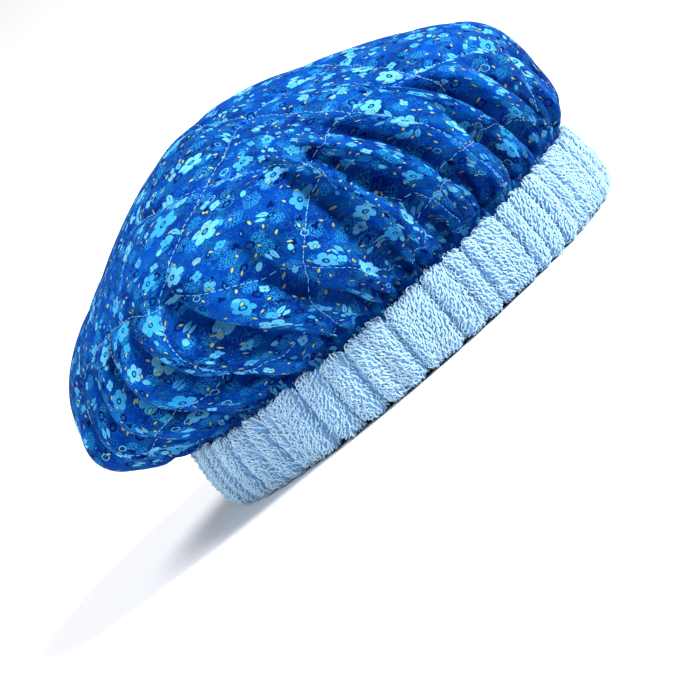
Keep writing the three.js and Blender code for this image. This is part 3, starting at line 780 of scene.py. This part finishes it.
fine, fine_faces, fine_flat, fine_normal = subdivided(
    *with_skirt(cover_points, disc_faces, flat, RIM_COLUMNS))
fine_share = 1 - np.hypot(*fine_flat.T) / CLOTH_RADIUS
sunk = quilting(fine_flat) * ease((fine_share - 0.0005) / 0.06)
sunk += CREASE_DEPTH * creasing(fine_flat, CREASE_WIDTH) * (1 - 0.5 * ease((fine_share - 0.1) / 0.08))
fine -= fine_normal * sunk[:, None]
fine[:, 2] -= hanging(fine_flat)
cover = new_object("quilted_cover", fine, fine_faces, uv=fine_flat, material=printed_cotton())
# Painted shade: this attribute holds how dark the creases and the cloth just above the band are painted
painted_shade = cover.data.attributes.new("painted_crease_shade", "FLOAT", "POINT")
painted_shade.data.foreach_set("value", np.clip(
    creasing(fine_flat, PAINTED_SHADE_WIDTH) + 0.7 * (1 - ease(fine_share / 0.05)), 0, 1).astype(np.float32))
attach(cover, "root")
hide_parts("outer_cover")


# Stitches
STITCH_LIMIT, STITCH_PITCH, STITCH_LENGTH = 0.192, 0.0027, 0.0019
THREAD_RADIUS, STITCH_RISE, STITCH_LIFT = 0.00017, 0.00021, 0.00006


def stitch_places():
    """Flat centres and directions of the stitches of every quilting line."""
    centres, ways = [], []
    lines = int(STITCH_LIMIT / QUILT_PITCH)
    for number in range(-lines, lines + 1):
        over = number * QUILT_PITCH
        half = math.sqrt(STITCH_LIMIT ** 2 - over ** 2)
        run = np.arange(-half, half, STITCH_PITCH) + 0.5 * STITCH_PITCH
        beside = np.full_like(run, over)
        for a, b, way in ((run, beside, (COS_TURN, SIN_TURN)), (beside, run, (-SIN_TURN, COS_TURN))):
            centres.append(np.c_[a * COS_TURN - b * SIN_TURN, a * SIN_TURN + b * COS_TURN])
            ways.append(np.tile(way, (len(run), 1)))
    return np.vstack(centres), np.vstack(ways)


def on_disc(flat_at, points):
    """Points of a disc grid's surface at flat coordinates, straight between its rings and columns."""
    radius, turned = flat_polar(flat_at)
    ring = np.clip((CLOTH_RADIUS - radius) / RING_STEP, 0, len(radii) - 1.001)
    low = np.floor(ring).astype(int)
    found = []
    for k in (low, low + 1):
        at = turned / GATHER_COUNT * counts[k]
        first = np.floor(at).astype(int)
        share_on = (at - first)[:, None]
        a = points[starts[k] + first % counts[k]]
        b = points[starts[k] + (first + 1) % counts[k]]
        found.append(a + (b - a) * share_on)
    return found[0] + (found[1] - found[0]) * (ring - low)[:, None]


def tubes(centre_lines, ups, radius, sides, taper):
    """Points and faces of tubes along many short lines at once. centre_lines is (number, points, 3),
    ups (number, 3), and taper is the share of the radius at each of a line's points."""
    number, steps = centre_lines.shape[:2]
    tangent = np.gradient(centre_lines, axis=1)
    tangent /= np.maximum(np.linalg.norm(tangent, axis=2, keepdims=True), 1e-12)
    side = np.cross(ups[:, None, :], tangent)
    side /= np.maximum(np.linalg.norm(side, axis=2, keepdims=True), 1e-12)
    lift = np.cross(tangent, side)
    angle = np.arange(sides) / sides * TURN
    size = radius * np.array(taper)
    ring = (side[:, :, None, :] * np.cos(angle)[None, None, :, None]
            + lift[:, :, None, :] * np.sin(angle)[None, None, :, None])
    points = centre_lines[:, :, None, :] + ring * size[None, :, None, None]
    i = np.arange(sides)
    j = (i + 1) % sides
    quads = np.vstack([np.c_[k + i, k + j, k + sides + j, k + sides + i]
                       for k in range(0, (steps - 1) * sides, sides)])
    faces = (quads[None] + (np.arange(number) * steps * sides)[:, None, None]).reshape(-1, 4)
    return points.reshape(-1, 3), faces.tolist()


def stitches():
    """Tubes of thread on the cover: each stitch's ends dip in, and its middle lies on the cloth."""
    centres, ways = stitch_places()
    surface = BVHTree.FromPolygons(fine.tolist(), fine_faces)
    steps = (0, 0.08, 0.3, 0.7, 0.92, 1)
    heights = np.array([-0.9, 0.25, 0.55, 0.55, 0.25, -0.9]) * STITCH_RISE + STITCH_LIFT
    half = ways * STITCH_LENGTH / 2
    ends = np.stack([centres - half, centres + half], 1).reshape(-1, 2)
    grid = new_mesh("grid", cover_points, disc_faces)
    up_ends = on_disc(ends, vertex_data(grid, "normal"))
    bpy.data.meshes.remove(grid)
    up_ends /= np.maximum(np.linalg.norm(up_ends, axis=1, keepdims=True), 1e-9)
    guess = on_disc(ends, cover_points) - up_ends * quilting(ends)[:, None]
    lines, ups = [], []
    for (first, last), (first_up, last_up) in zip(guess.reshape(-1, 2, 3), up_ends.reshape(-1, 2, 3)):
        way_up = Vector(first_up + last_up).normalized()
        line = []
        for step, height in zip(steps, heights):
            at = Vector(first + (last - first) * step)
            hit = surface.ray_cast(at + way_up * 0.0025, -way_up, 0.006)[0]
            line.append((at if hit is None else hit) + way_up * height)
        lines.append(line)
        ups.append(way_up)
    return tubes(np.array(lines, float), np.array(ups, float), THREAD_RADIUS, 5,
                 (0.35, 0.85, 1, 1, 0.85, 0.35))


quilt_thread = new_object("quilting_thread", *stitches(), material=sewing_thread())
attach(quilt_thread, "root")


# Lining
in_radii, in_counts, _, in_faces = disc_grid(CLOTH_RADIUS, 0.004, RIM_COLUMNS)
in_turn, in_radius = disc_places(in_radii, in_counts)
in_share = 1 - in_radius / CLOTH_RADIUS
in_angle, in_gathers = in_turn * TURN, in_turn * GATHER_COUNT
in_flat = np.c_[in_radius * np.cos(in_angle), in_radius * np.sin(in_angle)]
seam_angle = gather_at(in_gathers, np.zeros(len(in_turn)))[0]
ruffle = (np.cos(TURN * in_gathers) + 0.7 * np.cos(TURN * in_gathers * 2 + 1.3)
          + 0.5 * np.sin(TURN * in_gathers * 3 + 0.4 * np.sin(in_angle * 5)))
lift = -0.0012 * (ruffle + 2.2) * ease(in_share / 0.05) * (1 - ease((in_share - 0.1) / 0.35))
lift -= 0.7 * quilting(in_flat) * ease(in_share / 0.04)
in_normal = lining_dome.normal(seam_angle, np.minimum(in_share, 0.99))
in_points = lining_dome(seam_angle, in_share) + in_normal * lift[:, None]
in_points, in_faces, in_flat = with_skirt(in_points, in_faces, in_flat, RIM_COLUMNS)
lining = new_object("inner_lining_cloth", in_points, in_faces, uv=in_flat, material=plain_cotton())
smoothed(lining)
solid = lining.modifiers.new("thickness", "SOLIDIFY")
solid.thickness = 0.0008
solid.offset = -1
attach(lining, "root")
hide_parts("inner_lining")

# Terry band
BAND_COLUMNS = GATHER_COUNT * 32
GROOVE_DEPTH, RIB_RISE = 0.0040, 0.0016


def groove_at(turn_share):
    """Share of the gather depth round the band, 1 in a groove and 0 on a rib."""
    index = np.floor(turn_share).astype(int) % GATHER_COUNT
    along = turn_share - np.floor(turn_share)
    middle = 0.42 + 0.16 * np.sin(index * 2.4)
    second = np.where(np.sin(index * 5.1) > -0.4, 0.62, 0.25)
    deep = np.exp(-(np.minimum(along, 1 - along) / 0.075) ** 2)
    shallow = second * np.exp(-((along - middle) / 0.07) ** 2)
    belly = 0.22 * (np.cos(2 * TURN * along) * 0.5 + 0.5)
    return np.clip(deep + shallow + belly, 0, 1.15)


def chaikin(section, rounds=2):
    """Rounds a closed section by cutting its corners."""
    for _ in range(rounds):
        ahead = np.roll(section, -1, axis=1)
        section = np.stack([section * 0.75 + ahead * 0.25, section * 0.25 + ahead * 0.75], 2)
        section = section.reshape(section.shape[0], -1, 2)
    return section


band_turn = np.arange(BAND_COLUMNS) / BAND_COLUMNS * GATHER_COUNT
band_angle = gather_at(band_turn, np.zeros(BAND_COLUMNS))[0]
groove = groove_at(band_turn)
wander = 0.0004 * np.sin(band_turn * 1.7) + 0.0003 * np.sin(band_turn * 4.3 + 1)
face_out = BAND_DEPTH - 0.0004 - GROOVE_DEPTH * groove
foot_up = 0.0011 + 0.0012 * np.clip(groove, 0, 1)
head_up = BAND_HEIGHT - 0.0006 - 0.0020 * np.clip(groove, 0, 1) + wander
skin_out = 0.0008 + 0.0006 * groove

# Section of the folded strip at each column, outwards and upwards: underside, outer face, casing, inner face
outline = (
    (0.0018, foot_up), (face_out - 0.0022, foot_up), (face_out, foot_up + 0.0032),
    (face_out + RIB_RISE * (1 - groove), BAND_HEIGHT / 2), (face_out, head_up - 0.0036),
    (face_out - 0.0012, head_up), (CASING_OUTER + 0.0002, head_up - 0.0002),
    (CASING_OUTER + 0.0001, TERRY_THICKNESS), (TERRY_THICKNESS - 0.0001, TERRY_THICKNESS),
    (TERRY_THICKNESS - 0.0001, head_up), (0.0012, head_up + 0.0002),
    (skin_out, head_up - 0.003), (skin_out, foot_up + 0.003),
)
section = chaikin(np.stack([
    np.stack([np.broadcast_to(value, BAND_COLUMNS) for value in place], -1) for place in outline], 1))


out, up = section[..., 0], section[..., 1]
band_points = np.stack([(HALF_LENGTH + out) * np.cos(band_angle)[:, None],
                        (HALF_BREADTH + out) * np.sin(band_angle)[:, None], up], -1)
side_count = section.shape[1]
place = np.arange(BAND_COLUMNS * side_count).reshape(BAND_COLUMNS, side_count)
ahead = np.roll(place, -1, axis=0)
band_faces = np.stack([place, ahead, np.roll(ahead, -1, axis=1), np.roll(place, -1, axis=1)], -1)
# The band's cloth under the loops is the same yarn coloured darker, as painted shade between the loops
terry_ground_painted_shade = terry_yarn("terry_ground_painted_shade", (0.16, 0.37, 0.68), (0.25, 0.49, 0.79), 0.4)
terry_pile = terry_yarn("terry_pile", (0.41, 0.67, 0.90), (0.57, 0.81, 0.96), 0.3)
band = new_object("terry_band_cloth", band_points.reshape(-1, 3), band_faces.reshape(-1, 4).tolist(),
                  material=terry_ground_painted_shade)
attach(band, "root")
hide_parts("terry_band")

# Loops of the terry, in columns from edge to edge. The lean of their rows drifts round the band
LOOP_RADIUS, LOOP_SINK, FLOOR_GAP = 0.00035, 0.0002, 0.0005
LOOP_LEAN, LONG_SHARE, LONG_SIZE = math.radians(32), 0.06, 1.4
band_normal = vertex_data(band.data, "normal").reshape(BAND_COLUMNS, side_count, 3)


def loops(name, pieces, first, last, spacing, height, length, column_step, seed):
    """Arched loops over the band's section from its point first to its point last, as so many pieces."""
    local = np.random.default_rng(seed)
    columns = np.arange(0, BAND_COLUMNS, column_step)
    path, normal = (table[:, np.arange(first, last + 1) % side_count] for table in (band_points, band_normal))
    step = np.linalg.norm(np.diff(path, axis=1), axis=2)
    reach = np.cumsum(np.c_[np.zeros(len(path)), step], axis=1)
    rows = int(reach[:, -1].mean() / spacing)
    column, row = np.meshgrid(columns, np.arange(rows), indexing="ij")
    column, row = column.ravel(), row.ravel()
    across = column + local.uniform(-0.35, 0.35, len(column)) * column_step + 0.5 * column_step * (row % 2)
    along = (row + 0.5 + local.uniform(-0.3, 0.3, len(row))) / rows
    lower = np.floor(across).astype(int) % BAND_COLUMNS
    upper = (lower + 1) % BAND_COLUMNS
    mix = (across - np.floor(across))[:, None]

    def read(table, at_column):
        """The table's rows where the loops stand on those columns, and their way along the section."""
        steps = np.arange(path.shape[1])
        at = np.array([np.interp(share * reach[q, -1], reach[q], steps)
                       for share, q in zip(along, at_column)])
        low = np.clip(np.floor(at).astype(int), 0, path.shape[1] - 2)
        part = (at - low)[:, None]
        here, ahead = table[at_column, low], table[at_column, low + 1]
        return here * (1 - part) + ahead * part, ahead - here

    base_a, climb = read(path, lower)
    base_b, _ = read(path, upper)
    normal_a, _ = read(normal, lower)
    base = base_a * (1 - mix) + base_b * mix
    up = normal_a / np.linalg.norm(normal_a, axis=1, keepdims=True)
    climb -= up * np.einsum("ni,ni->n", climb, up)[:, None]
    climb /= np.maximum(np.linalg.norm(climb, axis=1, keepdims=True), 1e-9)
    beside = np.cross(up, climb)
    drift = np.sin(across * GATHER_COUNT / BAND_COLUMNS * 2.2 + 0.8)
    lean = LOOP_LEAN * drift + local.normal(0, 0.28, len(base))
    way = climb * np.cos(lean)[:, None] + beside * np.sin(lean)[:, None]
    t = np.array([0.0, 0.18, 0.5, 0.82, 1.0])
    arch = np.sin(np.pi * t) ** 0.7
    size = local.uniform(0.8, 1.25, len(base))
    size *= np.where(local.uniform(0, 1, len(base)) < LONG_SHARE, LONG_SIZE, 1)
    tilt = local.normal(0.25, 0.3, len(base))
    offset = ((t - 0.5)[None, :] * length * size[:, None])[:, :, None] * way[:, None, :]
    rise = (arch[None, :] * height * size[:, None])[:, :, None]
    slanted = up[:, None, :] + beside[:, None, :] * tilt[:, None, None]
    lines = base[:, None, :] + offset + rise * slanted - up[:, None, :] * LOOP_SINK
    lines[..., 2] = np.maximum(lines[..., 2], FLOOR_GAP)
    made = []
    for number, group in enumerate(np.array_split(np.arange(len(base)), pieces)):
        points, faces = tubes(lines[group], up[group], LOOP_RADIUS, 4, (0.85, 1.0, 1.05, 1.0, 0.85))
        obj = new_object(f"{name}_{number + 1}", points, faces, material=terry_pile)
        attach(obj, "root")
        made.append(obj)
    return made


terry_loops = (loops("terry_loops_outer", 4, 4, 24, 0.00105, 0.0014, 0.0021, 2, 11)
               + loops("terry_loops_inner", 2, 40, 55, 0.0014, 0.0009, 0.0022, 3, 12))

# Elastic and seed
elastic_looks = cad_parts["elastic_loop"].data.materials
elastic_looks.clear()
elastic_looks.append(woven_elastic())

seed_material = flax_seed()
POCKET_LIMIT, POCKET_SQUEEZE, POCKET_MARGIN = 0.174, 0.024, 0.003
SEED_DEPTH, SEED_EDGE, SEED_GAP, SEED_LUMP = 0.006, 0.0016, 0.00095, 0.0004
GRID_ROWS, SEED_POINTS = 6, 17


def quilt_point(along, across, lift):
    """Point over the lining at a place of the quilt. Places near the band are drawn in to POCKET_LIMIT."""
    radius, inner = np.hypot(along, across), POCKET_LIMIT - POCKET_SQUEEZE
    squeezed = inner + POCKET_SQUEEZE * np.tanh((radius - inner) / POCKET_SQUEEZE)
    radius = np.where(radius > inner, squeezed, radius)
    return above_lining(np.arctan2(across, along) + QUILT_ANGLE, 1 - radius / CLOTH_RADIUS, lift)


def box_faces(n):
    """Faces of a closed slab whose bottom and top are grids of n by n points."""
    index = np.arange(n * n).reshape(n, n)
    quads = np.stack([index[:-1, :-1], index[1:, :-1], index[1:, 1:], index[:-1, 1:]], -1).reshape(-1, 4)
    edge = np.r_[index[:-1, 0], index[-1, :-1], index[:0:-1, -1], index[0, :0:-1]]
    after = np.roll(edge, -1)
    wall = np.stack([edge, after, after + n * n, edge + n * n], -1)
    return np.vstack([quads + n * n, quads[:, ::-1], wall]).tolist()


grid = np.linspace(0, 1, SEED_POINTS)
gi, gj = np.meshgrid(grid, grid, indexing="ij")
dome_shape = (1 - (2 * gi - 1) ** 4) ** 0.5 * (1 - (2 * gj - 1) ** 4) ** 0.5
side = QUILT_PITCH - 2 * POCKET_MARGIN
for row in range(1, GRID_ROWS + 1):
    for column in range(1, GRID_ROWS + 1):
        node = f"seed_fill_{row}_{column}"
        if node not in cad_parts:
            continue
        r, c = row - 1 - GRID_ROWS // 2, column - 1 - GRID_ROWS // 2
        along = r * QUILT_PITCH + POCKET_MARGIN + side * gi
        across = c * QUILT_PITCH + POCKET_MARGIN + side * gj
        lumps = SEED_LUMP * np.sin(along / 0.0031 + r) * np.cos(across / 0.0027 + c)
        depth = SEED_EDGE + (SEED_DEPTH - SEED_EDGE) * dome_shape + lumps * dome_shape
        top = quilt_point(along, across, SEED_GAP + depth).reshape(-1, 3)
        bottom = quilt_point(along, across, np.full_like(along, SEED_GAP)).reshape(-1, 3)
        fill = new_object(f"seed_pocket_{row}_{column}", np.vstack([bottom, top]), box_faces(SEED_POINTS),
                          material=seed_material)
        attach(fill, "root")
        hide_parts(node)

# Stage, light and camera
floor_paint = Paint("pale_floor")
clouds = floor_paint.noise(floor_paint.node("ShaderNodeTexCoord").outputs["Object"], 3.0)
floor_paint.finish(Base_Color=floor_paint.mix(clouds, (0.90, 0.90, 0.90), (0.93, 0.93, 0.93)), Roughness=0.9)
floor = linked("floor", new_mesh("floor", [(-9, -9, 0), (9, -9, 0), (9, 9, 0), (-9, 9, 0)], [(0, 1, 2, 3)]))
floor.data.materials.append(floor_paint.material)

world = bpy.data.worlds.new("studio")
bpy.context.scene.world = world
world.use_nodes = True
sky = world.node_tree
way = sky.nodes.new("ShaderNodeTexCoord")
parts = sky.nodes.new("ShaderNodeSeparateXYZ")
ramp = sky.nodes.new("ShaderNodeValToRGB")
low_sky, high_sky = ramp.color_ramp.elements
low_sky.position, low_sky.color = 0.03, (1, 1, 1, 1)
high_sky.position, high_sky.color = 0.16, (0.22, 0.23, 0.25, 1)
sky.links.new(way.outputs["Generated"], parts.inputs[0])
sky.links.new(parts.outputs[2], ramp.inputs[0])
sky.links.new(ramp.outputs[0], sky.nodes["Background"].inputs["Color"])

# The camera is rolled, as the photo shows the band's plane at a slant
ELEVATION, ROLL, DISTANCE = math.radians(6.3), math.radians(41), 1.3
PICTURE_PIXELS, METRES_PER_PIXEL, SENSOR_WIDTH = 679, 0.00042, 36
LEFT_OF_MIDDLE, ABOVE_MIDDLE = 0.0361, 0.0019
forward = Vector((0, math.cos(ELEVATION), -math.sin(ELEVATION)))
level_up = Vector((0, math.sin(ELEVATION), math.cos(ELEVATION)))
picture_right = math.cos(ROLL) * Vector((1, 0, 0)) - math.sin(ROLL) * level_up
picture_up = math.sin(ROLL) * Vector((1, 0, 0)) + math.cos(ROLL) * level_up
camera = linked("camera", bpy.data.cameras.new("camera"))
camera.data.sensor_width = SENSOR_WIDTH
camera.data.lens = SENSOR_WIDTH * (DISTANCE / METRES_PER_PIXEL) / PICTURE_PIXELS
camera.matrix_world = Matrix([*((*row, 0) for row in zip(picture_right, picture_up, -forward)), (0, 0, 0, 1)])
camera.location = -DISTANCE * forward - LEFT_OF_MIDDLE * picture_right + ABOVE_MIDDLE * picture_up
bpy.context.scene.camera = camera
bpy.context.scene.view_settings.view_transform = "Standard"


def sun(name, energy, spread, way):
    """A distant soft light that stands that way from the cap."""
    lamp = linked(name, bpy.data.lights.new(name, "SUN"))
    lamp.data.energy, lamp.data.angle = energy, spread
    lamp.location = way.normalized() * 2
    lamp.rotation_mode = "QUATERNION"
    lamp.rotation_quaternion = (-way).to_track_quat("-Z", "Y")


sun("key", 4.6, 0.25, 0.95 * picture_up - 0.5 * forward + 0.25 * picture_right)
sun("overhead", 2.0, 0.6, Vector((0, 0, 1)))
sun("fill", 1.15, 0.9, -0.75 * picture_right - 0.65 * forward)
